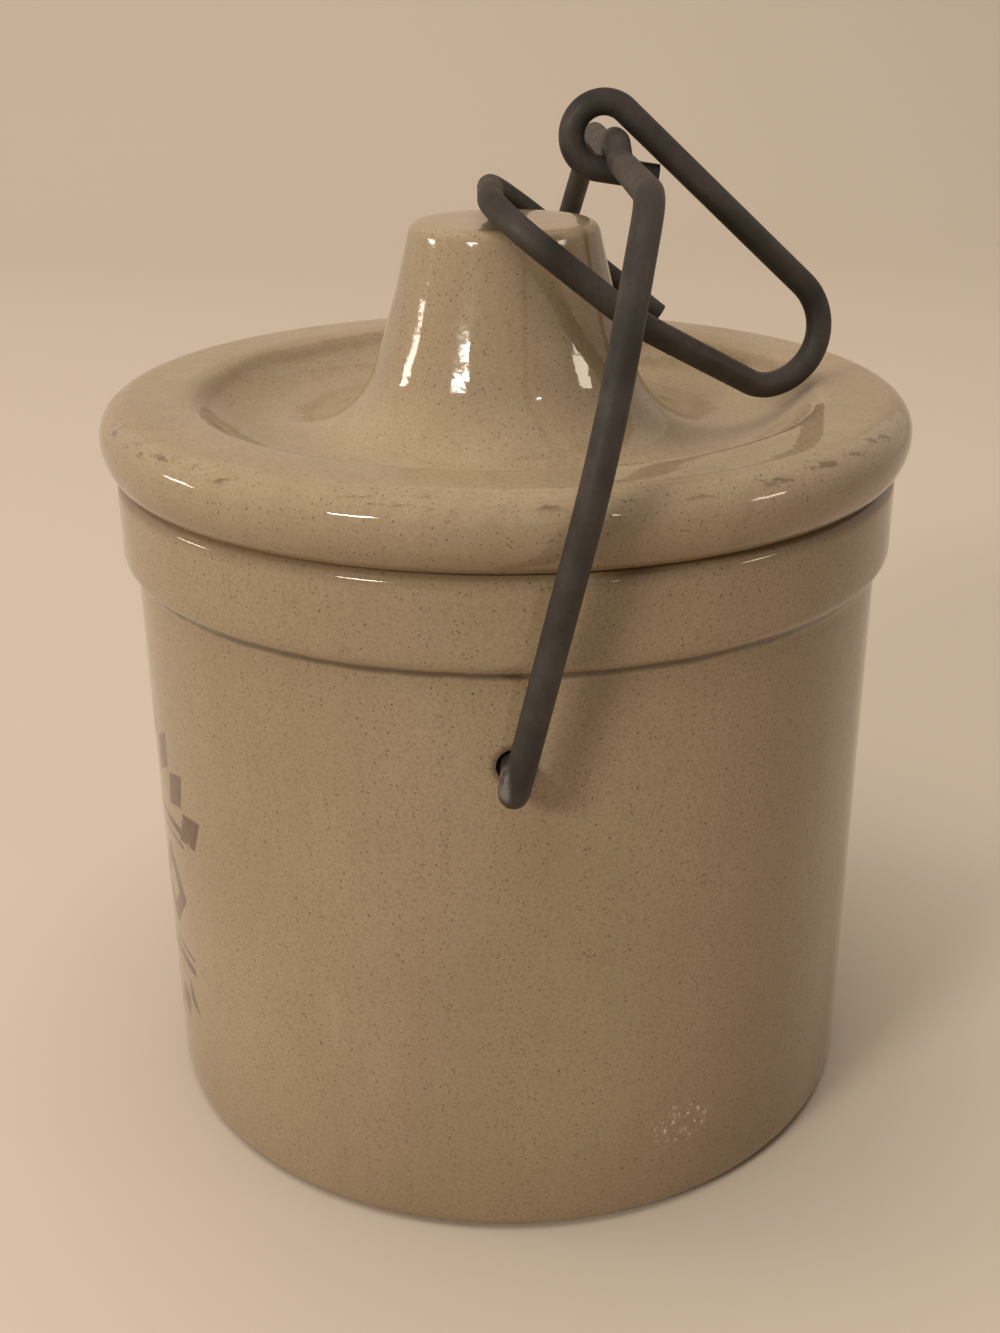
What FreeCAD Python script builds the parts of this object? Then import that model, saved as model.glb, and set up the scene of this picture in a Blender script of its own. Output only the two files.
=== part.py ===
# Stoneware cheese crock: a straight body with a banded rim, a flat lid with a sunk ring
# and a conical knob, a wire bail hinged in two blind sockets, and a wire clamp on the bail.
#
# Millimetres. The origin is the centre of the base and +Z is up. The bail's hinge line
# runs along X and the crock's printed front faces -Y. The bail leans towards +Y, and
# the clamp lies over the lid with its yoke astride the knob.

import FreeCAD, Part
import os
from math import acos, asin, cos, degrees, hypot, radians, sin, sqrt, tan

Vector = FreeCAD.Vector

# Body
body_radius = 47.9
rim_height = 86.3
band_step = 1.55
band_height = 10.0
band_bevel = 1.5
rim_rounding = 1.6
foot_rounding = 2.2
foot_ring_width = 7.0
base_hollow_depth = 0.9
wall_at_mouth = 7.9
mouth_depth = 8.0

# Lid: heights are measured up from its seat on the rim
lid_overhang = 1.55
lid_edge_rounding = 4.0
lid_edge_height = 4.8
lid_tuck = 1.6
lid_lip = 0.5
lid_lip_tuck = 1.6
ledge_width = 5.5
dish_depth = 5.3
dish_lip_bend = 5.0
dish_wall_bend = 13.0
flange_clearance = 0.8
flange_wall = 6.0
flange_depth = 5.5
underside_hollow = 2.8

# Knob
knob_height = 28.9
knob_top_radius = 11.9
knob_edge_rounding = 1.6
knob_cone_angle = 74.0
knob_skirt_bend = 11.5

# Wire of the bail and the clamp
wire_radius = 1.5875

# Sockets of the bail, one in each side of the body
hinge_drop = 22.1
socket_clearance = 0.45
socket_depth = 4.4
pin_end_gap = 0.6

# Bail, in its own leaning plane: "out" from the middle and "up" from the hinge line
bail_lean = 13.25
pin_length_outside = 1.1
foot_gap = 3.9
foot_drop = 3.4
knee_gap = 1.5
knee_up = 38.5
crown_half_width = 40.3
crown_gap = 0.15
hump_rise = 1.8
hump_back = 0.6
hump_half_foot = 4.6
hump_half_top = 2.3
pin_bend = 2.5
foot_bend = 2.1
knee_bend = 32.0
shoulder_bend = 6.0
hump_bend = 1.9

# Clamp: angles are in the plane x = 0, counted from +Y towards +Z
eye_gap = 0.2
eye_slack = 0.475
tail_angle = 171.1
tail_reach = 5.2
lever_angle = -42.3
heel_reach = 29.4
heel_low_reach = 20.5
heel_low_out = 3.0
heel_sink = 1.3
heel_bend = 7.0
yoke_gap = 1.1
yoke_angle = -37.9
yoke_arm = 28.7
splay_run = 21.2
web_past_centre = 1.7
web_gap = 1.5
splay_bend = 16.0
web_bend = 8.0

# Sizes that follow from the ones above
wire_diameter = 2 * wire_radius
eye_radius = wire_diameter + eye_gap + eye_slack
socket_radius = wire_radius + socket_clearance
band_radius = body_radius + band_step
mouth_radius = band_radius - wall_at_mouth
lid_radius = band_radius + lid_overhang
hinge_height = rim_height - hinge_drop
edge_centre_radius = lid_radius - lid_edge_rounding
edge_centre_height = rim_height + lid_edge_height
ledge_height = edge_centre_height + lid_edge_rounding
knob_top = rim_height + knob_height


def point(radius, height):
    return Vector(radius, 0, height)


def line(start, end):
    return Part.LineSegment(start, end).toShape()


def arc(start, middle, end):
    return Part.Arc(start, middle, end).toShape()


def curve(centre_radius, centre_height, size, first, last):
    """An arc in the profile plane, about a centre, between two angles in degrees."""
    points = []
    for angle in (first, (first + last) / 2, last):
        across = centre_radius + size * cos(radians(angle))
        height = centre_height + size * sin(radians(angle))
        points.append(point(across, height))
    return arc(*points)


def polyline(points):
    return [line(a, b) for a, b in zip(points, points[1:])]


def revolved(edges):
    """The solid made by turning a closed outline in the XZ plane about the Z axis."""
    wire = Part.Wire(Part.__sortEdges__(edges))
    return Part.Face(wire).revolve(Vector(0, 0, 0), Vector(0, 0, 1), 360)


def make_body():
    """The stoneware pot: foot ring, straight wall, banded rim and the two sockets."""
    hollow_radius = body_radius - foot_ring_width
    band_foot = rim_height - band_height
    points = [
        point(0, base_hollow_depth),
        point(hollow_radius - base_hollow_depth, base_hollow_depth),
        point(hollow_radius, 0),
        point(body_radius - foot_rounding, 0),
    ]
    edges = polyline(points)
    edges.append(curve(body_radius - foot_rounding, foot_rounding, foot_rounding, -90, 0))
    edges += polyline([
        point(body_radius, foot_rounding),
        point(body_radius, band_foot - band_bevel),
        point(band_radius, band_foot),
        point(band_radius, rim_height - rim_rounding),
    ])
    edges.append(curve(band_radius - rim_rounding, rim_height - rim_rounding, rim_rounding, 0, 90))
    edges += polyline([
        point(band_radius - rim_rounding, rim_height),
        point(mouth_radius, rim_height),
        point(mouth_radius, rim_height - mouth_depth),
        point(0, rim_height - mouth_depth),
        point(0, base_hollow_depth),
    ])
    body = revolved(edges)
    for side in (1, -1):
        start = Vector(side * (body_radius - socket_depth), 0, hinge_height)
        length = socket_depth + band_step
        socket = Part.makeCylinder(socket_radius, length, start, Vector(side, 0, 0))
        body = body.cut(socket)
    return body


def make_lid():
    """The lid: rounded edge, flat ledge, dished ring, knob, and a flange in the mouth."""
    under_radius = lid_radius - lid_tuck
    flange_radius = mouth_radius - flange_clearance
    flange_inner = flange_radius - flange_wall
    flange_foot = rim_height - flange_depth
    hollow_top = flange_foot + underside_hollow
    edges = polyline([
        point(0, hollow_top),
        point(flange_inner, hollow_top),
        point(flange_inner, flange_foot),
        point(flange_radius, flange_foot),
        point(flange_radius, rim_height),
        point(under_radius - lid_lip_tuck, rim_height),
        point(under_radius, rim_height + lid_lip),
    ])

    # Outer edge: a slow arc out to the widest line, then a quarter round up to the ledge
    rise = lid_edge_height - lid_lip
    slow_radius = (rise ** 2 + lid_tuck ** 2) / (2 * lid_tuck)
    slow_turn = degrees(asin(rise / slow_radius))
    ledge_inner = edge_centre_radius - ledge_width
    edges.append(curve(lid_radius - slow_radius, edge_centre_height, slow_radius, -slow_turn, 0))
    edges.append(curve(edge_centre_radius, edge_centre_height, lid_edge_rounding, 0, 90))
    edges.append(line(point(edge_centre_radius, ledge_height), point(ledge_inner, ledge_height)))

    # Knob: a skirt curving up from the dish's floor into a cone with a rounded top edge
    floor = ledge_height - dish_depth
    cone = radians(knob_cone_angle)
    top_centre = knob_top_radius - knob_edge_rounding
    top_centre_height = knob_top - knob_edge_rounding
    cone_top = point(top_centre + knob_edge_rounding * sin(cone), top_centre_height + knob_edge_rounding * cos(cone))
    cone_foot_height = floor + knob_skirt_bend * (1 - cos(cone))
    cone_foot_radius = cone_top.x + (cone_top.z - cone_foot_height) / tan(cone)
    skirt_foot = cone_foot_radius + knob_skirt_bend * sin(cone)

    # Dish: the ledge rolls over and a wider curve meets the floor, within the room there is
    room = ledge_inner - skirt_foot
    both_bends = min(dish_lip_bend + dish_wall_bend, (room ** 2 + dish_depth ** 2) / (2 * dish_depth))
    lip_bend = both_bends * dish_lip_bend / (dish_lip_bend + dish_wall_bend)
    wall_bend = both_bends - lip_bend
    roll = degrees(acos(1 - dish_depth / both_bends))
    floor_outer = ledge_inner - both_bends * sin(radians(roll))
    edges.append(curve(ledge_inner, ledge_height - lip_bend, lip_bend, 90, 90 + roll))
    edges.append(curve(floor_outer, floor + wall_bend, wall_bend, -90, roll - 90))
    if floor_outer - skirt_foot > 0.01:
        edges.append(line(point(floor_outer, floor), point(skirt_foot, floor)))
    edges.append(curve(skirt_foot, floor + knob_skirt_bend, knob_skirt_bend, -90, -90 - knob_cone_angle))
    edges.append(line(point(cone_foot_radius, cone_foot_height), cone_top))
    edges.append(curve(top_centre, top_centre_height, knob_edge_rounding, 90 - knob_cone_angle, 90))
    edges.append(line(point(top_centre, knob_top), point(0, knob_top)))
    edges.append(line(point(0, knob_top), point(0, hollow_top)))
    return revolved(edges)


def rounded_route(corners, bends):
    """The edges of a route through corner points, each inner corner rounded to its bend."""
    edges = []
    start = corners[0]
    for before, corner, after, bend in zip(corners, corners[1:], corners[2:], bends):
        back = (before - corner).normalize()
        ahead = (after - corner).normalize()
        half_angle = back.getAngle(ahead) / 2
        reach = bend * cos(half_angle) / sin(half_angle)
        middle_reach = bend / sin(half_angle) - bend
        bisector = (back + ahead).normalize()
        arc_start = corner + back * reach
        arc_end = corner + ahead * reach
        edges.append(line(start, arc_start))
        edges.append(arc(arc_start, corner + bisector * middle_reach, arc_end))
        start = arc_end
    edges.append(line(start, corners[-1]))
    return edges


def wire_along(edges):
    """Round wire swept along a smooth route."""
    first = edges[0]
    section = Part.Circle(first.valueAt(first.FirstParameter), first.tangentAt(first.FirstParameter), wire_radius)
    return Part.Wire(edges).makePipeShell([Part.Wire(section.toShape())], True, False)


def bail_point(out, up, back=0.0):
    """A point of the bail's plane, leant over about the hinge line."""
    lean = radians(bail_lean)
    across = up * sin(lean) - back * cos(lean)
    height = hinge_height + up * cos(lean) + back * sin(lean)
    return Vector(out, across, height)


def crown_height_up():
    """How far up the bail's plane the crown runs, to swing clear of the lid and the knob."""
    edge_reach = hypot(edge_centre_radius, edge_centre_height - hinge_height) + lid_edge_rounding
    edge_beside_hump = sqrt(edge_reach ** 2 - hump_half_foot ** 2)
    knob_reach = hypot(knob_top_radius, knob_top - hinge_height)
    return max(edge_beside_hump, knob_reach) + crown_gap + wire_radius


crown_up = crown_height_up()
crown_centre = bail_point(0, crown_up + hump_rise, hump_back)


def make_bail():
    """The carrying bail: two hooked pins, two bowed legs and a crown with a raised middle."""
    half = [
        (body_radius - socket_depth + pin_end_gap, 0, 0),
        (body_radius + pin_length_outside, 0, 0),
        (body_radius + foot_gap + wire_radius, -foot_drop, 0),
        (lid_radius + knee_gap + wire_radius, knee_up, 0),
        (crown_half_width, crown_up, 0),
        (hump_half_foot, crown_up, 0),
        (hump_half_top, crown_up + hump_rise, hump_back),
    ]
    corners = [bail_point(out, up, back) for out, up, back in half]
    corners += [bail_point(-out, up, back) for out, up, back in reversed(half)]
    bends = [pin_bend, foot_bend, knee_bend, shoulder_bend, hump_bend, hump_bend]
    return wire_along(rounded_route(corners, bends + bends[::-1]))


def towards(angle):
    """The unit direction in the YZ plane at an angle in degrees from +Y towards +Z."""
    return Vector(0, cos(radians(angle)), sin(radians(angle)))


def make_clamp():
    """The clamp: a cut tail, an eye round the crown, a long lever and a yoke for the knob."""
    # The tail and the lever pass the crown at the same gap, which sets the eye's centre
    tail_outwards = towards(tail_angle + 90)
    lever_outwards = towards(lever_angle + 90)
    inset = -eye_slack
    turn = tail_outwards.cross(lever_outwards).x
    eye_shift = (lever_outwards - tail_outwards).cross(Vector(1, 0, 0)) * (inset / turn)
    eye_centre = crown_centre + eye_shift
    tail_start = eye_centre + tail_outwards * eye_radius
    lever_start = eye_centre + lever_outwards * eye_radius
    eye_side = eye_centre + towards((tail_angle + lever_angle) / 2 + 90) * eye_radius
    tail_direction = towards(tail_angle)
    tail_run = (tail_start.y - crown_centre.y - tail_reach) / tail_direction.y
    edges = [
        line(tail_start - tail_direction * tail_run, tail_start),
        arc(tail_start, eye_side, lever_start),
    ]

    lever_direction = towards(lever_angle)
    lever_run = (crown_centre.y + heel_reach - lever_start.y) / lever_direction.y
    yoke_out = Vector(knob_top_radius + yoke_gap + wire_radius, 0, 0)
    web = Vector(0, -web_past_centre, knob_top + web_gap + wire_radius)
    yoke_direction = towards(yoke_angle)
    corners = [
        lever_start,
        lever_start + lever_direction * lever_run,
        Vector(heel_low_out, crown_centre.y + heel_low_reach, ledge_height - heel_sink),
        web + yoke_out + yoke_direction * splay_run,
        web + yoke_out,
        web - yoke_out,
        web - yoke_out + yoke_direction * yoke_arm,
    ]
    edges += rounded_route(corners, [heel_bend, heel_bend, splay_bend, web_bend, web_bend])
    return wire_along(edges)


nodes = {
    "crock_body": make_body,
    "lid": make_lid,
    "bail": make_bail,
    "clamp": make_clamp,
}

os.makedirs("parts", exist_ok=True)
for name, make in nodes.items():
    shape = make()
    shape.exportStep("parts/" + name + ".step")
    print(name, "valid", shape.isValid(), "solids", len(shape.Solids), "volume", round(shape.Volume, 1))
print("crown centre", crown_centre, "crown up", round(crown_up, 2))
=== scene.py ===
from math import acos, asin, cos, degrees, hypot, pi, radians, sin, sqrt, tan

import bmesh
import bpy
from mathutils import Matrix, Vector


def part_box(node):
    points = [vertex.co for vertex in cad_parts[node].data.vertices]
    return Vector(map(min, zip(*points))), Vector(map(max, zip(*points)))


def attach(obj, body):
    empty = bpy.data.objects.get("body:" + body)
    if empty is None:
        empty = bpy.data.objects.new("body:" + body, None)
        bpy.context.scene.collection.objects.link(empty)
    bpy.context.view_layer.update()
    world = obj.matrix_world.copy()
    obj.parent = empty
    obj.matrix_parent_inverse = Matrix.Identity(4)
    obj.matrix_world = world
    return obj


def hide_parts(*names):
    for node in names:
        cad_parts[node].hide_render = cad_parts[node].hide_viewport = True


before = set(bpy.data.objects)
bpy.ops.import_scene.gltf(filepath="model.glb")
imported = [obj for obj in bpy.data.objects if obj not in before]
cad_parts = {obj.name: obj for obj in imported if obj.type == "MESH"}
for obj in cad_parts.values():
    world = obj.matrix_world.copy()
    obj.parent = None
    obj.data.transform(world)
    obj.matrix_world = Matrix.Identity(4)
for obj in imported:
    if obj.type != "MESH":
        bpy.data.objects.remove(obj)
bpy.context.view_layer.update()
mm = 0.001
poleRadius = 0.6  # the small flat at the axis that closes a turned piece
bpy.ops.object.select_all(action="DESELECT")
print("frame loaded", sorted(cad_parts))

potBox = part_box("crock_body")
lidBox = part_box("lid")
rimHeight = potBox[1][2] / mm
bandRadius = potBox[1][0] / mm
lidRadius = lidBox[1][0] / mm
knobTop = lidBox[1][2] / mm


def arcRings(centreRadius, centreHeight, size, first, last, steps):
    rings = []
    for step in range(steps + 1):
        angle = radians(first + (last - first) * step / steps)
        rings.append((centreRadius + size * cos(angle), centreHeight + size * sin(angle)))
    return rings


def straightRings(start, end, steps):
    rings = []
    for step in range(1, steps):
        share = step / steps
        rings.append((start[0] + (end[0] - start[0]) * share, start[1] + (end[1] - start[1]) * share))
    return rings


def startEdit(piece):
    bpy.context.view_layer.objects.active = piece
    bpy.ops.object.mode_set(mode="EDIT")


def endEdit():
    bpy.ops.object.mode_set(mode="OBJECT")


def turnOnWheel(name, rings, segments):
    radius, height = rings[0]
    bpy.ops.object.select_all(action="DESELECT")
    bpy.ops.mesh.primitive_circle_add(vertices=segments, radius=radius * mm, location=(0, 0, height * mm))
    piece = bpy.context.object
    piece.name = name
    startEdit(piece)
    bpy.ops.mesh.select_all(action="SELECT")
    for nextRadius, nextHeight in rings[1:]:
        rise = (0, 0, (nextHeight - height) * mm)
        grow = nextRadius / radius
        bpy.ops.mesh.extrude_region_move(TRANSFORM_OT_translate={"value": rise})
        bpy.ops.transform.resize(value=(grow, grow, 1), center_override=(0, 0, nextHeight * mm))
        radius, height = nextRadius, nextHeight
    bpy.ops.mesh.select_all(action="SELECT")
    bpy.ops.mesh.fill_holes(sides=0)
    bpy.ops.mesh.select_all(action="SELECT")
    bpy.ops.mesh.normals_make_consistent(inside=False)
    endEdit()
    bpy.ops.object.transform_apply(location=True, rotation=True, scale=True)
    return piece


def applyModifier(piece, kind, **settings):
    bpy.context.view_layer.objects.active = piece
    modifier = piece.modifiers.new(kind.lower(), kind)
    for key, value in settings.items():
        setattr(modifier, key, value)
    bpy.ops.object.modifier_apply(modifier=modifier.name)


def smoothPiece(piece, angle):
    bpy.ops.object.select_all(action="DESELECT")
    piece.select_set(True)
    bpy.context.view_layer.objects.active = piece
    bpy.ops.object.shade_smooth_by_angle(angle=radians(angle))


pot = {
    "wallRadius": 47.9,
    "bandHeight": 10.0,
    "bandBevel": 1.5,
    "rimRounding": 1.6,
    "footRounding": 2.2,
    "footRingWidth": 7.0,
    "baseHollow": 0.9,
    "wallAtMouth": 7.9,
    "mouthDepth": 8.0,
    "hingeDrop": 22.1,
    "socketRadius": 2.0375,
    "socketDepth": 4.4,
    "segments": 288,
}

hingeHeight = rimHeight - pot["hingeDrop"]
mouthRadius = bandRadius - pot["wallAtMouth"]


def makePot():
    wall = pot["wallRadius"]
    hollow = wall - pot["footRingWidth"]
    foot = pot["footRounding"]
    bandFoot = rimHeight - pot["bandHeight"]
    rimTurn = pot["rimRounding"]
    mouthFloor = rimHeight - pot["mouthDepth"]
    rings = [(poleRadius, pot["baseHollow"]), (hollow - 4, pot["baseHollow"])]
    rings += [(hollow - pot["baseHollow"], pot["baseHollow"]), (hollow, 0)]
    rings += arcRings(wall - foot, foot, foot, -90, 0, 8)
    rings += straightRings((wall, foot), (wall, bandFoot - pot["bandBevel"] - 1.2), 24)
    rings += [(wall, bandFoot - pot["bandBevel"] - 1.2), (wall + 0.02, bandFoot - pot["bandBevel"] - 0.12)]
    rings += [(wall + 0.14, bandFoot - pot["bandBevel"] + 0.12), (bandRadius - 0.45, bandFoot - 0.5)]
    rings += [(bandRadius - 0.14, bandFoot - 0.1), (bandRadius, bandFoot + 0.5)]
    rings += straightRings((bandRadius, bandFoot + 0.5), (bandRadius, rimHeight - rimTurn), 5)
    rings += arcRings(bandRadius - rimTurn, rimHeight - rimTurn, rimTurn, 0, 90, 8)
    rings += [(mouthRadius + 0.4, rimHeight), (mouthRadius, rimHeight - 0.4)]
    rings += [(mouthRadius, mouthFloor), (mouthRadius - 6, mouthFloor), (poleRadius, mouthFloor)]
    piece = turnOnWheel("glazed_pot", rings, pot["segments"])
    for side in (1, -1):
        middle = side * (pot["wallRadius"] - pot["socketDepth"] + 5)
        bpy.ops.mesh.primitive_cylinder_add(vertices=48, radius=pot["socketRadius"] * mm, depth=10 * mm,
                                            location=(middle * mm, 0, hingeHeight * mm),
                                            rotation=(0, pi / 2, 0))
        drill = bpy.context.object
        applyModifier(piece, "BOOLEAN", object=drill, operation="DIFFERENCE", solver="EXACT")
        bpy.data.objects.remove(drill)
    return piece


potPiece = makePot()
smoothPiece(potPiece, 40)
print("pot turned", len(potPiece.data.polygons), "faces")


lid = {
    "edgeRounding": 4.0,
    "edgeHeight": 4.8,
    "tuck": 1.6,
    "lip": 0.5,
    "lipTuck": 1.6,
    "ledgeWidth": 5.5,
    "dishDepth": 5.3,
    "dishLipBend": 5.0,
    "dishWallBend": 13.0,
    "flangeClearance": 0.8,
    "flangeWall": 6.0,
    "flangeDepth": 5.5,
    "hollow": 2.8,
    "knobRadius": 11.9,
    "knobEdge": 1.6,
    "coneAngle": 74.0,
    "skirtBend": 11.5,
    "flankSag": 3.5,  # degrees that the knob's flank hollows in
    "segments": 288,
}

edgeCentre = lidRadius - lid["edgeRounding"]
edgeLine = rimHeight + lid["edgeHeight"]
ledgeHeight = edgeLine + lid["edgeRounding"]


def saggedFlank(foot, top, footAngle, topAngle):
    rise, run = top[1] - foot[1], foot[0] - top[0]
    low, high = tan(radians(footAngle)), tan(radians(topAngle))
    across = (high * run - rise) / (high - low)  # where the two end slopes meet
    middle = (foot[0] - across, foot[1] + across * low)
    rings = []
    for step in range(1, 12):
        share = step / 12
        weights = ((1 - share) ** 2, 2 * share * (1 - share), share ** 2)
        ends = (foot, middle, top)
        rings.append(tuple(sum(w * end[i] for w, end in zip(weights, ends)) for i in (0, 1)))
    return rings


def makeLid():
    under = lidRadius - lid["tuck"]
    flange = mouthRadius - lid["flangeClearance"]
    flangeInner = flange - lid["flangeWall"]
    flangeFoot = rimHeight - lid["flangeDepth"]
    hollowTop = flangeFoot + lid["hollow"]
    rings = [(poleRadius, hollowTop), (flangeInner, hollowTop), (flangeInner, flangeFoot), (flange, flangeFoot)]
    rings += [(flange, rimHeight), (under - lid["lipTuck"], rimHeight)]

    rise = lid["edgeHeight"] - lid["lip"]
    slowRadius = (rise ** 2 + lid["tuck"] ** 2) / (2 * lid["tuck"])
    slowTurn = degrees(asin(rise / slowRadius))
    ledgeInner = edgeCentre - lid["ledgeWidth"]
    rings += [(under - 0.45, rimHeight + 0.22)]  # softened lower edge
    rings += arcRings(lidRadius - slowRadius, edgeLine, slowRadius, -slowTurn * 0.93, 0, 8)
    rings += arcRings(edgeCentre, edgeLine, lid["edgeRounding"], 0, 90, 12)[1:]
    rings += straightRings((edgeCentre, ledgeHeight), (ledgeInner, ledgeHeight), 3)

    floor = ledgeHeight - lid["dishDepth"]
    cone = radians(lid["coneAngle"])
    topCentre = lid["knobRadius"] - lid["knobEdge"]
    topCentreHeight = knobTop - lid["knobEdge"]
    coneTopRadius = topCentre + lid["knobEdge"] * sin(cone)
    coneTopHeight = topCentreHeight + lid["knobEdge"] * cos(cone)
    coneFootHeight = floor + lid["skirtBend"] * (1 - cos(cone))
    coneFootRadius = coneTopRadius + (coneTopHeight - coneFootHeight) / tan(cone)
    skirtFoot = coneFootRadius + lid["skirtBend"] * sin(cone)
    room = ledgeInner - skirtFoot
    wanted = lid["dishLipBend"] + lid["dishWallBend"]
    bends = min(wanted, (room ** 2 + lid["dishDepth"] ** 2) / (2 * lid["dishDepth"]))
    lipBend = bends * lid["dishLipBend"] / wanted
    wallBend = bends - lipBend
    roll = degrees(acos(1 - lid["dishDepth"] / bends))
    floorOuter = ledgeInner - bends * sin(radians(roll))
    rings += arcRings(ledgeInner, ledgeHeight - lipBend, lipBend, 90, 90 + roll, 8)
    rings += arcRings(floorOuter, floor + wallBend, wallBend, roll - 90, -90, 12)[1:]
    footSlope = lid["coneAngle"] - lid["flankSag"]
    topSlope = lid["coneAngle"] + lid["flankSag"]
    skirt = arcRings(skirtFoot, floor + lid["skirtBend"], lid["skirtBend"], -90, -90 - footSlope, 16)
    edge = arcRings(topCentre, topCentreHeight, lid["knobEdge"], 90 - topSlope, 90, 8)
    rings += skirt + saggedFlank(skirt[-1], edge[0], footSlope, topSlope) + edge
    rings += [(topCentre - 2, knobTop), (4, knobTop), (poleRadius, knobTop)]
    return turnOnWheel("glazed_lid", rings, lid["segments"])


lidPiece = makeLid()
smoothPiece(lidPiece, 40)
print("lid turned", len(lidPiece.data.polygons), "faces")


wire = {"radius": 1.5875, "sides": 10, "arcStep": 5.0, "cutBevel": 0.25}

bail = {
    "lean": 13.25,
    "pinGap": 0.6,
    "pinOutside": 1.1,
    "footGap": 3.9,
    "footDrop": 3.4,
    "kneeGap": 1.5,
    "kneeUp": 38.5,
    "crownHalfWidth": 40.3,
    "crownGap": 0.15,
    "humpRise": 1.8,
    "humpBack": 0.6,
    "humpHalfFoot": 4.6,
    "humpHalfTop": 2.3,
    "bends": [2.5, 2.1, 32.0, 6.0, 1.9, 1.9],
}

clamp = {
    "eyeGap": 0.2,
    "eyeRadius": 3.85,
    "tailAngle": 171.1,
    "tailReach": 5.2,
    "leverAngle": -42.3,
    "heelReach": 29.4,
    "heelLowReach": 20.5,
    "heelLowOut": 3.0,
    "heelSink": 1.3,
    "heelBend": 7.0,
    "yokeGap": 1.1,
    "yokeAngle": -37.9,
    "yokeArm": 28.7,
    "splayRun": 21.2,
    "webPastCentre": 1.7,
    "webGap": 1.5,
    "splayBend": 16.0,
    "webBend": 8.0,
}


def bentRoute(corners, bends):
    route = [corners[0]]
    for before, corner, after, bend in zip(corners, corners[1:], corners[2:], bends):
        back = (before - corner).normalized()
        ahead = (after - corner).normalized()
        half = back.angle(ahead) / 2
        centre = corner + (back + ahead).normalized() * (bend / sin(half))
        first = corner + back * (bend / tan(half)) - centre
        axis = back.cross(ahead).normalized()
        turn = pi - 2 * half
        steps = max(3, round(degrees(turn) / wire["arcStep"]))
        for step in range(steps + 1):
            route.append(centre + Matrix.Rotation(-turn * step / steps, 3, axis) @ first)
    route.append(corners[-1])
    return route


def bendWire(name, route):
    line = bpy.data.curves.new(name, "CURVE")
    line.dimensions = "3D"
    spline = line.splines.new("POLY")
    spline.points.add(len(route) - 1)
    for point, place in zip(spline.points, route):
        point.co = (*(place * mm), 1)
    line.bevel_depth = wire["radius"] * mm
    line.bevel_resolution = wire["sides"]
    line.use_fill_caps = True
    piece = bpy.data.objects.new(name, line)
    bpy.context.collection.objects.link(piece)
    bpy.ops.object.select_all(action="DESELECT")
    piece.select_set(True)
    bpy.context.view_layer.objects.active = piece
    bpy.ops.object.convert(target="MESH")
    piece = bpy.context.object
    startEdit(piece)
    bpy.ops.mesh.select_all(action="SELECT")
    bpy.ops.mesh.remove_doubles(threshold=0.00001)
    bpy.ops.mesh.normals_make_consistent(inside=False)
    endEdit()
    applyModifier(piece, "BEVEL", width=wire["cutBevel"] * mm, segments=3, limit_method="ANGLE",
                  angle_limit=radians(60))
    smoothPiece(piece, 45)
    return piece


def bailPoint(out, up, back=0.0):
    lean = radians(bail["lean"])
    return Vector((out, up * sin(lean) - back * cos(lean), hingeHeight + up * cos(lean) + back * sin(lean)))


edgeReach = hypot(edgeCentre, edgeLine - hingeHeight) + lid["edgeRounding"]
besideHump = sqrt(edgeReach ** 2 - bail["humpHalfFoot"] ** 2)
knobReach = hypot(lid["knobRadius"], knobTop - hingeHeight)
crownUp = max(besideHump, knobReach) + bail["crownGap"] + wire["radius"]
crownCentre = bailPoint(0, crownUp + bail["humpRise"], bail["humpBack"])


def makeBail():
    half = [
        (pot["wallRadius"] - pot["socketDepth"] + bail["pinGap"], 0, 0),
        (pot["wallRadius"] + bail["pinOutside"], 0, 0),
        (pot["wallRadius"] + bail["footGap"] + wire["radius"], -bail["footDrop"], 0),
        (lidRadius + bail["kneeGap"] + wire["radius"], bail["kneeUp"], 0),
        (bail["crownHalfWidth"], crownUp, 0),
        (bail["humpHalfFoot"], crownUp, 0),
        (bail["humpHalfTop"], crownUp + bail["humpRise"], bail["humpBack"]),
    ]
    corners = [bailPoint(*place) for place in half]
    corners += [bailPoint(-out, up, back) for out, up, back in reversed(half)]
    bends = bail["bends"] + bail["bends"][::-1]
    return bendWire("steel_bail", bentRoute(corners, bends))


def towards(angle):
    return Vector((0, cos(radians(angle)), sin(radians(angle))))


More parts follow.
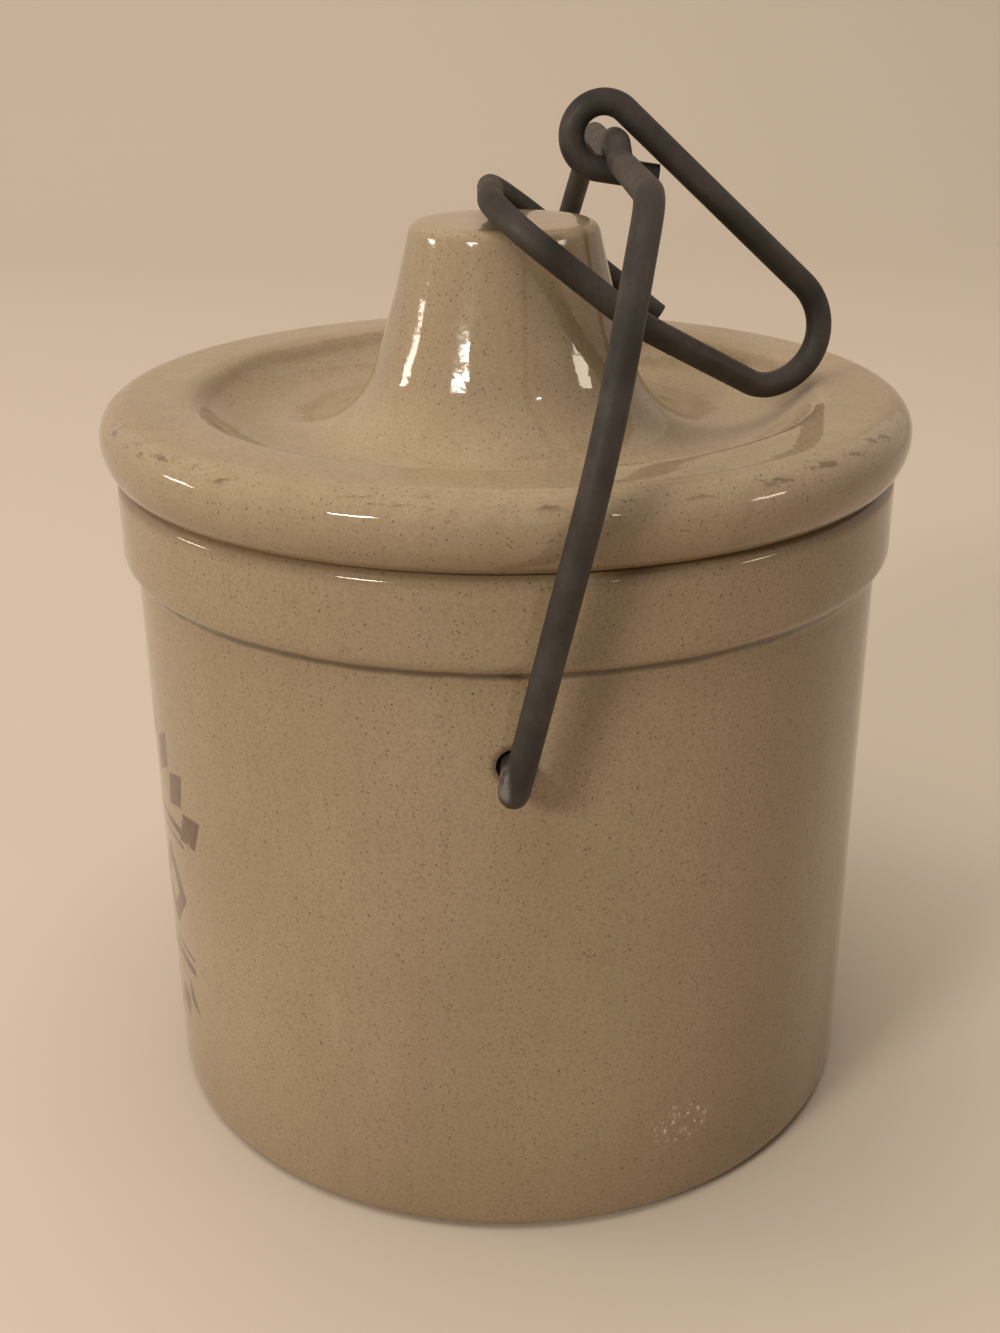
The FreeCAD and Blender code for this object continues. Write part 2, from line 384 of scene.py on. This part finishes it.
def makeClamp():
    tailOut = towards(clamp["tailAngle"] + 90)
    leverOut = towards(clamp["leverAngle"] + 90)
    inset = 2 * wire["radius"] + clamp["eyeGap"] - clamp["eyeRadius"]
    turn = tailOut.cross(leverOut).x
    eyeCentre = crownCentre + (leverOut - tailOut).cross(Vector((1, 0, 0))) * (inset / turn)
    tailWay = towards(clamp["tailAngle"])
    tailStart = eyeCentre + tailOut * clamp["eyeRadius"]
    tailRun = (tailStart.y - crownCentre.y - clamp["tailReach"]) / tailWay.y
    route = [tailStart - tailWay * tailRun]

    eyeTurn = clamp["leverAngle"] - clamp["tailAngle"]
    steps = round(abs(eyeTurn) / wire["arcStep"])
    for step in range(steps + 1):
        way = clamp["tailAngle"] + 90 + eyeTurn * step / steps
        route.append(eyeCentre + towards(way) * clamp["eyeRadius"])

    leverStart = route.pop()
    leverWay = towards(clamp["leverAngle"])
    leverRun = (crownCentre.y + clamp["heelReach"] - leverStart.y) / leverWay.y
    out = Vector((lid["knobRadius"] + clamp["yokeGap"] + wire["radius"], 0, 0))
    web = Vector((0, -clamp["webPastCentre"], knobTop + clamp["webGap"] + wire["radius"]))
    yokeWay = towards(clamp["yokeAngle"])
    corners = [
        leverStart,
        leverStart + leverWay * leverRun,
        Vector((clamp["heelLowOut"], crownCentre.y + clamp["heelLowReach"], ledgeHeight - clamp["heelSink"])),
        web + out + yokeWay * clamp["splayRun"],
        web + out,
        web - out,
        web - out + yokeWay * clamp["yokeArm"],
    ]
    bends = [clamp["heelBend"], clamp["heelBend"], clamp["splayBend"], clamp["webBend"], clamp["webBend"]]
    return bendWire("steel_clamp", route + bentRoute(corners, bends))


bailPiece = makeBail()
clampPiece = makeClamp()
print("wires bent", len(bailPiece.data.polygons), len(clampPiece.data.polygons), "faces")


class Shader:
    def __init__(self, name):
        self.material = bpy.data.materials.new(name)
        self.material.use_nodes = True
        self.nodes = self.material.node_tree.nodes
        self.links = self.material.node_tree.links
        self.surface = self.nodes["Principled BSDF"]
        place = self.nodes.new("ShaderNodeTexCoord").outputs["Object"]
        scaled = self.nodes.new("ShaderNodeVectorMath")
        scaled.operation = "SCALE"
        scaled.inputs["Scale"].default_value = 1 / mm  # places are in millimetres
        self.links.new(place, scaled.inputs[0])
        self.place = scaled.outputs[0]
        split = self.nodes.new("ShaderNodeSeparateXYZ")
        self.links.new(self.place, split.inputs[0])
        self.x, self.y, self.z = split.outputs

    def feed(self, value, socket):
        if isinstance(value, bpy.types.NodeSocket):
            self.links.new(value, socket)
        elif isinstance(value, tuple) and len(value) == 3 and socket.type == "RGBA":
            socket.default_value = (*value, 1)
        else:
            socket.default_value = value

    def sum(self, how, first, second=0.0, clamped=False):
        node = self.nodes.new("ShaderNodeMath")
        node.operation = how
        node.use_clamp = clamped
        self.feed(first, node.inputs[0])
        self.feed(second, node.inputs[1])
        return node.outputs[0]

    def band(self, value, low, high, toLow=0.0, toHigh=1.0):
        node = self.nodes.new("ShaderNodeMapRange")
        node.interpolation_type = "SMOOTHSTEP"
        self.feed(value, node.inputs["Value"])
        self.feed(low, node.inputs["From Min"])
        self.feed(high, node.inputs["From Max"])
        self.feed(toLow, node.inputs["To Min"])
        self.feed(toHigh, node.inputs["To Max"])
        return node.outputs[0]

    def stretched(self, factors):
        node = self.nodes.new("ShaderNodeVectorMath")
        node.operation = "MULTIPLY"
        self.feed(self.place, node.inputs[0])
        node.inputs[1].default_value = factors
        return node.outputs[0]

    def noise(self, size, detail=2.0, rough=0.5, place=None):
        node = self.nodes.new("ShaderNodeTexNoise")
        self.feed(place or self.place, node.inputs["Vector"])
        node.inputs["Scale"].default_value = 1 / size
        node.inputs["Detail"].default_value = detail
        node.inputs["Roughness"].default_value = rough
        return node.outputs[0]

    def grains(self, size, jitter=1.0):
        node = self.nodes.new("ShaderNodeTexVoronoi")
        self.feed(self.place, node.inputs["Vector"])
        node.inputs["Scale"].default_value = 1 / size
        node.inputs["Randomness"].default_value = jitter
        return node.outputs["Distance"], node.outputs["Color"]

    def blend(self, share, first, second, how="MIX"):
        node = self.nodes.new("ShaderNodeMix")
        node.data_type = "RGBA"
        node.blend_type = how
        self.feed(share, node.inputs[0])
        self.feed(first, node.inputs[6])
        self.feed(second, node.inputs[7])
        return node.outputs[2]

    def bump(self, height, distance, strength=1.0, under=None):
        node = self.nodes.new("ShaderNodeBump")
        node.inputs["Distance"].default_value = distance * mm
        node.inputs["Strength"].default_value = strength
        self.feed(height, node.inputs["Height"])
        if under is not None:
            self.feed(under, node.inputs["Normal"])
        return node.outputs[0]


glaze = {
    "tan": (0.298, 0.221, 0.134),
    "pale": (0.353, 0.270, 0.171),
    "brown": (0.190, 0.122, 0.062),
    "speck": (0.045, 0.024, 0.011),
    "clay": (0.46, 0.38, 0.29),
    "print": (0.070, 0.024, 0.012),
    "scuff": (0.62, 0.53, 0.42),
    "roughness": 0.06,
}


def specks(shader, colour):
    for size, limit, share in ((1.1, 0.15, 0.7), (0.6, 0.26, 0.55), (3.0, 0.06, 0.8)):
        near, chance = shader.grains(size)
        dot = shader.band(near, limit * 0.5, limit, 1, 0)
        splitChance = shader.nodes.new("ShaderNodeSeparateColor")
        shader.links.new(chance, splitChance.inputs[0])
        some = shader.band(splitChance.outputs[0], 0.45, 0.75)
        amount = shader.sum("MULTIPLY", shader.sum("MULTIPLY", dot, some), share)
        colour = shader.blend(amount, colour, glaze["speck"])
    return colour


def glazeColour(shader, runShare):
    cloud = shader.band(shader.noise(26, 3, 0.55), 0.25, 0.75, 0.15, 0.85)
    colour = shader.blend(cloud, glaze["tan"], glaze["pale"])
    drift = shader.band(shader.noise(34, 2, 0.5, shader.stretched((1, 1, 0.28))), 0.42, 0.74)
    colour = shader.blend(shader.sum("MULTIPLY", drift, 0.16), colour, glaze["brown"])
    runs = shader.band(shader.noise(3.2, 3, 0.55, shader.stretched((1, 1, 0.10))), 0.40, 0.72)
    colour = shader.blend(shader.sum("MULTIPLY", runs, runShare), colour, glaze["brown"])
    grain = shader.band(shader.noise(0.42, 3, 0.7), 0.42, 0.66)
    colour = shader.blend(shader.sum("MULTIPLY", grain, 0.44), colour, glaze["brown"])
    return colour


def finishGlaze(shader, colour, rough, extraBump=None):
    surface = shader.surface
    shader.feed(colour, surface.inputs["Base Color"])
    shader.feed(rough, surface.inputs["Roughness"])
    surface.inputs["IOR"].default_value = 1.52
    slow = shader.bump(shader.noise(11, 2, 0.5), 0.14)
    fine = shader.bump(shader.noise(1.7, 2, 0.5), 0.022, under=slow)
    last = fine if extraBump is None else shader.bump(extraBump, 0.03, under=fine)
    shader.feed(last, surface.inputs["Normal"])


mark = {
    "rules": ((43.0, 0.7), (41.0, 0.3), (24.0, 0.3), (22.0, 0.7)),  # height, half thickness
    "ruleHalfLength": 25.0,
    "diamonds": (-18.0, 0.0, 18.0),  # places along the wall, between the rules
    "diamondHeight": 32.5,
}


def printMask(shader):
    wall = pot["wallRadius"]
    turned = shader.sum("ARCTAN2", shader.x, shader.sum("MULTIPLY", shader.y, -1.0))
    across = shader.sum("MULTIPLY", turned, wall)
    up = shader.z

    def leafRow(centreHeight, radius, halfWidth, halfSpan, count, slant, bulge):
        above = shader.sum("SUBTRACT", up, centreHeight)
        far = shader.sum("SQRT", shader.sum("ADD", shader.sum("MULTIPLY", across, across),
                                            shader.sum("MULTIPLY", above, above)))
        angle = shader.sum("ARCTAN2", across, shader.sum("MULTIPLY", above, bulge))
        off = shader.sum("SUBTRACT", far, radius)
        step = 2 * halfSpan / count
        leaned = shader.sum("ADD", angle, shader.sum("MULTIPLY", off, slant))
        cell = shader.sum("SUBTRACT", shader.sum("FRACT", shader.sum("DIVIDE", leaned, step)), 0.5)
        reach = shader.sum("DIVIDE", shader.sum("ABSOLUTE", off), halfWidth)
        room = shader.sum("MULTIPLY", shader.sum("SUBTRACT", 1.0, reach), 0.46)
        inside = shader.band(shader.sum("SUBTRACT", room, shader.sum("ABSOLUTE", cell)), -0.01, 0.05)
        within = shader.band(shader.sum("ABSOLUTE", angle), halfSpan - 0.01, halfSpan + 0.002, 1, 0)
        return shader.sum("MULTIPLY", inside, within)

    def rule(height, halfHeight, halfLength):
        above = shader.sum("ABSOLUTE", shader.sum("SUBTRACT", up, height))
        tall = shader.band(above, halfHeight - 0.12, halfHeight, 1, 0)
        wide = shader.band(shader.sum("ABSOLUTE", across), halfLength - 0.3, halfLength, 1, 0)
        return shader.sum("MULTIPLY", tall, wide)

    marks = leafRow(24.0, 34.0, 4.6, radians(58), 12, 0.0, 1.0)
    marks = shader.sum("MAXIMUM", marks, leafRow(50.0, 40.0, 3.0, radians(36), 9, 0.0, -1.0))
    for height, halfHeight in mark["rules"]:
        marks = shader.sum("MAXIMUM", marks, rule(height, halfHeight, mark["ruleHalfLength"]))
    for centre in mark["diamonds"]:
        sideways = shader.sum("ABSOLUTE", shader.sum("SUBTRACT", across, centre))
        upwards = shader.sum("ABSOLUTE", shader.sum("SUBTRACT", up, mark["diamondHeight"]))
        spread = shader.sum("ADD", shader.sum("DIVIDE", sideways, 6.0), shader.sum("DIVIDE", upwards, 6.6))
        diamond = shader.band(shader.sum("ABSOLUTE", shader.sum("SUBTRACT", spread, 0.72)), 0.24, 0.28, 1, 0)
        marks = shader.sum("MAXIMUM", marks, diamond)
    front = shader.band(shader.y, -12, -10, 1, 0)
    wear = shader.band(shader.noise(1.6, 4, 0.7), 0.30, 0.44)
    return shader.sum("MULTIPLY", shader.sum("MULTIPLY", marks, front), wear)


def makePotGlaze():
    shader = Shader("tan_pot_glaze")
    colour = glazeColour(shader, 0.07)
    bandFoot = rimHeight - pot["bandHeight"] - pot["bandBevel"]
    ragged = shader.sum("ADD", shader.z, shader.sum("MULTIPLY", shader.noise(3.5, 3, 0.6), 1.2))
    waver = shader.sum("MULTIPLY", shader.sum("SUBTRACT", shader.noise(6, 2, 0.5), 0.5), 0.7)
    waved = shader.sum("ADD", shader.z, waver)
    groove = shader.sum("ABSOLUTE", shader.sum("SUBTRACT", waved, bandFoot + 0.15))
    # dark line under the band: partly a brown glaze line, partly painted shade under the band's lower edge
    colour = shader.blend(shader.band(groove, 0.15, 0.8, 0.78, 0), colour, glaze["speck"])
    rimLine = shader.band(ragged, rimHeight - 1.6, rimHeight + 0.2, 0, 0.5)
    colour = shader.blend(rimLine, colour, glaze["brown"])
    lowShade = shader.band(shader.z, 2, 26, 0.28, 0)
    colour = shader.blend(lowShade, colour, glaze["brown"])
    colour = specks(shader, colour)
    marks = printMask(shader)
    colour = shader.blend(shader.sum("MULTIPLY", marks, 0.86), colour, glaze["print"])

    def patch(centre, radii):
        gap = shader.nodes.new("ShaderNodeVectorMath")
        gap.operation = "SUBTRACT"
        shader.feed(shader.place, gap.inputs[0])
        gap.inputs[1].default_value = centre
        sized = shader.nodes.new("ShaderNodeVectorMath")
        sized.operation = "DIVIDE"
        shader.feed(gap.outputs[0], sized.inputs[0])
        sized.inputs[1].default_value = radii
        length = shader.nodes.new("ShaderNodeVectorMath")
        length.operation = "LENGTH"
        shader.feed(sized.outputs[0], length.inputs[0])
        return shader.band(length.outputs["Value"], 0.55, 1.0, 1, 0)

    scuffed = shader.band(shader.noise(1.0, 4, 0.75), 0.56, 0.60)
    scuff = shader.sum("MULTIPLY", patch((43.3, 20.5, 12.6), (6, 5.2, 3.4)), scuffed)
    colour = shader.blend(shader.sum("MULTIPLY", scuff, 0.8), colour, glaze["scuff"])
    streak = shader.sum("MULTIPLY", patch((43.0, -21.5, 28.5), (4, 0.8, 5.5)), 0.35)
    colour = shader.blend(streak, colour, glaze["pale"])

    footEdge = shader.sum("ADD", shader.z, shader.sum("MULTIPLY", shader.noise(4, 2, 0.5), 0.6))
    bare = shader.band(footEdge, 0.7, 0.9, 1, 0)
    colour = shader.blend(bare, colour, glaze["clay"])
    holeReach = shader.sum("SQRT", shader.sum("ADD", shader.sum("MULTIPLY", shader.y, shader.y),
                           shader.sum("POWER", shader.sum("SUBTRACT", shader.z, hingeHeight), 2.0)))
    holeDark = shader.band(holeReach, pot["socketRadius"] + 0.05, pot["socketRadius"] + 0.9, 1, 0)
    outerHalf = shader.band(shader.sum("ABSOLUTE", shader.x), 35, 36)
    colour = shader.blend(shader.sum("MULTIPLY", shader.sum("MULTIPLY", holeDark, outerHalf), 0.75), colour,
                          (0.05, 0.03, 0.016))
    rough = shader.band(shader.noise(9, 3, 0.6), 0.3, 0.7, glaze["roughness"], glaze["roughness"] + 0.05)
    rough = shader.sum("ADD", rough, shader.sum("MULTIPLY", bare, 0.5))
    rough = shader.sum("ADD", rough, shader.sum("MULTIPLY", scuff, 0.3), clamped=True)
    finishGlaze(shader, colour, rough, scuff)
    return shader.material


def makeLidGlaze():
    shader = Shader("tan_lid_glaze")
    colour = glazeColour(shader, 0.20)
    colour = shader.blend(0.22, colour, glaze["pale"])
    reach = shader.sum("SQRT", shader.sum("ADD", shader.sum("MULTIPLY", shader.x, shader.x),
                                          shader.sum("MULTIPLY", shader.y, shader.y)))
    wobble = shader.sum("MULTIPLY", shader.sum("SUBTRACT", shader.noise(8, 3, 0.6), 0.5), 2.2)
    # painted shade: a browner ring darkens the dish's crease just inside the ledge
    ringAt = shader.sum("ABSOLUTE", shader.sum("SUBTRACT", shader.sum("ADD", reach, wobble), 38.4))
    creaseShade = shader.sum("MULTIPLY", shader.band(ringAt, 0.3, 1.5, 0.45, 0), shader.band(shader.z, 92, 93))
    colour = shader.blend(creaseShade, colour, glaze["brown"])
    lower = shader.band(shader.sum("ADD", shader.z, wobble), rimHeight + 0.2, rimHeight + 4.2, 0.6, 0)
    colour = shader.blend(lower, colour, glaze["brown"])
    colour = specks(shader, colour)
    stain = shader.band(shader.noise(2.6, 4, 0.7, shader.stretched((1, 0.35, 2.2))), 0.54, 0.64)
    fromEdge = shader.sum("ABSOLUTE", shader.sum("SUBTRACT", shader.z, ledgeHeight - 1.0))
    edgeTop = shader.band(fromEdge, 0.2, 0.9, 0.55, 0)
    outer = shader.band(reach, edgeCentre, edgeCentre + 1)
    stain = shader.sum("MULTIPLY", shader.sum("MULTIPLY", stain, edgeTop), outer)
    colour = shader.blend(stain, colour, glaze["speck"])
    smooth, dull = glaze["roughness"] - 0.02, glaze["roughness"] + 0.02
    rough = shader.band(shader.noise(9, 3, 0.6), 0.3, 0.7, smooth, dull)
    finishGlaze(shader, colour, rough)
    return shader.material


steel = {
    "dark": (0.028, 0.024, 0.021),
    "mid": (0.078, 0.069, 0.061),
    "worn": (0.21, 0.195, 0.185),
    "metal": 0.55,
}


def makeSteel(name, wornPins):
    shader = Shader(name)
    tone = shader.band(shader.noise(9, 3, 0.5), 0.2, 0.8)
    colour = shader.blend(tone, steel["dark"], steel["mid"])
    fleck = shader.band(shader.noise(0.6, 3, 0.65), 0.52, 0.70, 0, 0.35)
    colour = shader.blend(fleck, colour, steel["dark"])
    rough = shader.band(shader.noise(2.2, 3, 0.6), 0.3, 0.7, 0.48, 0.62)
    if wornPins:
        outX = shader.band(shader.sum("ABSOLUTE", shader.x), 49.0, 50.5)
        abovePin = shader.band(shader.z, hingeHeight - 1.4, hingeHeight - 0.2)
        belowLeg = shader.band(shader.z, hingeHeight + 1.8, hingeHeight + 4, 1, 0)
        nearPin = shader.sum("MULTIPLY", abovePin, belowLeg)
        frontSide = shader.band(shader.y, -1.1, -0.4, 1, 0)
        flaky = shader.band(shader.noise(1.1, 4, 0.7), 0.36, 0.56)
        pinEnd = shader.sum("MULTIPLY", outX, nearPin)
        worn = shader.sum("MULTIPLY", pinEnd, shader.sum("MULTIPLY", frontSide, flaky))
        colour = shader.blend(worn, colour, steel["worn"])
    shader.feed(colour, shader.surface.inputs["Base Color"])
    shader.feed(rough, shader.surface.inputs["Roughness"])
    shader.surface.inputs["Metallic"].default_value = steel["metal"]
    pits = shader.bump(shader.noise(0.6, 4, 0.7), 0.03)
    dents = shader.bump(shader.noise(4.5, 2, 0.5), 0.05, under=pits)
    shader.feed(dents, shader.surface.inputs["Normal"])
    return shader.material


def dress(piece, material, body, node):
    piece.data.materials.clear()
    piece.data.materials.append(material)
    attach(piece, body)
    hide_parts(node)


dress(potPiece, makePotGlaze(), "crock", "crock_body")
dress(lidPiece, makeLidGlaze(), "crock", "lid")
dress(bailPiece, makeSteel("aged_bail_steel", True), "bail", "bail")
dress(clampPiece, makeSteel("aged_clamp_steel", False), "clamp", "clamp")
print("finishes laid on")


studio = {
    "floorReach": 0.75,
    "sweepBend": 0.6,
    "floorColour": (0.52, 0.44, 0.36),
    "backdrop": (0.56, 0.47, 0.39),
    "fillColour": (1.0, 0.82, 0.60),
    "fillStrength": 0.15,
}

lamps = [  # place, width, height, watts, colour, seen in the gloss
    ("mainSoft", (0.94, -0.86, 0.60), 0.40, 0.40, 6.6, (1.0, 0.95, 0.87), False),
    ("mainGlint", (0.92, -0.83, 0.62), 0.34, 0.05, 3.3, (1.0, 0.94, 0.85), True),
    ("sideWindow", (-0.17, -1.25, 0.39), 0.30, 0.07, 1.0, (1.0, 0.82, 0.66), True),
    ("smallLamp", (0.95, 0.55, 0.76), 0.03, 0.03, 0.18, (1.0, 0.92, 0.82), True),
    ("farWindow", (0.36, 1.18, 0.50), 0.30, 0.10, 0.8, (1.0, 0.84, 0.66), True),
    ("sideSoft", (-0.17, -1.25, 0.40), 0.50, 0.50, 1.8, (1.0, 0.88, 0.76), False),
    ("softOverhead", (0.02, -0.25, 1.90), 2.2, 2.2, 40.0, (1.0, 0.94, 0.87), False),
]


def setStudio():
    bpy.ops.mesh.primitive_plane_add(size=2 * studio["floorReach"], location=(0, 0, 0))
    floor = bpy.context.object
    floor.name = "studio_sweep"
    startEdit(floor)
    mesh = bmesh.from_edit_mesh(floor.data)
    for part in (*mesh.verts, *mesh.edges, *mesh.faces):
        part.select = False
    for edge in mesh.edges:
        if all(end.co.x < 0 for end in edge.verts):
            edge.select_set(True)
    bmesh.update_edit_mesh(floor.data)
    bend, steps = studio["sweepBend"], 16
    for step in range(steps):  # the floor curls up into the wall
        before, after = pi / 2 * step / steps, pi / 2 * (step + 1) / steps
        move = (-bend * (sin(after) - sin(before)), 0, bend * (cos(before) - cos(after)))
        bpy.ops.mesh.extrude_region_move(TRANSFORM_OT_translate={"value": move})
    bpy.ops.mesh.extrude_region_move(TRANSFORM_OT_translate={"value": (0, 0, 1.6)})
    endEdit()
    smoothPiece(floor, 60)
    cloth = bpy.data.materials.new("pale_floor")
    cloth.use_nodes = True
    cloth.node_tree.nodes["Principled BSDF"].inputs["Base Color"].default_value = (*studio["floorColour"], 1)
    cloth.node_tree.nodes["Principled BSDF"].inputs["Roughness"].default_value = 0.8
    floor.data.materials.append(cloth)

    for name, place, width, height, watts, colour, inGloss in lamps:
        lamp = bpy.data.lights.new(name, "AREA")
        lamp.shape = "ELLIPSE"
        lamp.size, lamp.size_y = width, height
        lamp.energy = watts
        lamp.color = colour
        holder = bpy.data.objects.new(name, lamp)
        holder.location = place
        holder.visible_glossy = inGloss
        aim = Vector((0, 0, 0.07)) - Vector(place)
        holder.rotation_euler = aim.to_track_quat("-Z", "Y").to_euler()
        bpy.context.collection.objects.link(holder)

    world = bpy.data.worlds.new("soft_room")
    bpy.context.scene.world = world
    world.use_nodes = True
    nodes, links = world.node_tree.nodes, world.node_tree.links
    room = nodes["Background"]
    room.inputs["Color"].default_value = (*studio["fillColour"], 1)
    room.inputs["Strength"].default_value = studio["fillStrength"]
    seen = nodes.new("ShaderNodeBackground")
    seen.inputs["Color"].default_value = (*studio["backdrop"], 1)
    seen.inputs["Strength"].default_value = 1.0
    path = nodes.new("ShaderNodeLightPath")
    either = nodes.new("ShaderNodeMixShader")
    shown = nodes.new("ShaderNodeMath")
    shown.operation = "MAXIMUM"
    links.new(path.outputs["Is Camera Ray"], shown.inputs[0])
    links.new(path.outputs["Is Glossy Ray"], shown.inputs[1])
    links.new(shown.outputs[0], either.inputs[0])
    links.new(room.outputs[0], either.inputs[1])
    links.new(seen.outputs[0], either.inputs[2])
    links.new(either.outputs[0], nodes["World Output"].inputs[0])


camera = {
    "place": (0.1980718, -0.0034072, 0.1400804),
    "turn": (66.8751, 0.3729, 89.1150),
    "lens": 42.194,
    "sensor": 36,
}


def setCamera():
    view = bpy.data.cameras.new("camera")
    view.lens = camera["lens"]
    view.sensor_width = camera["sensor"]
    view.clip_start = 0.01
    holder = bpy.data.objects.new("camera", view)
    holder.location = camera["place"]
    holder.rotation_euler = [radians(angle) for angle in camera["turn"]]
    bpy.context.collection.objects.link(holder)
    bpy.context.scene.camera = holder


setStudio()
setCamera()
bpy.context.scene.view_settings.view_transform = "Standard"
print("studio set")
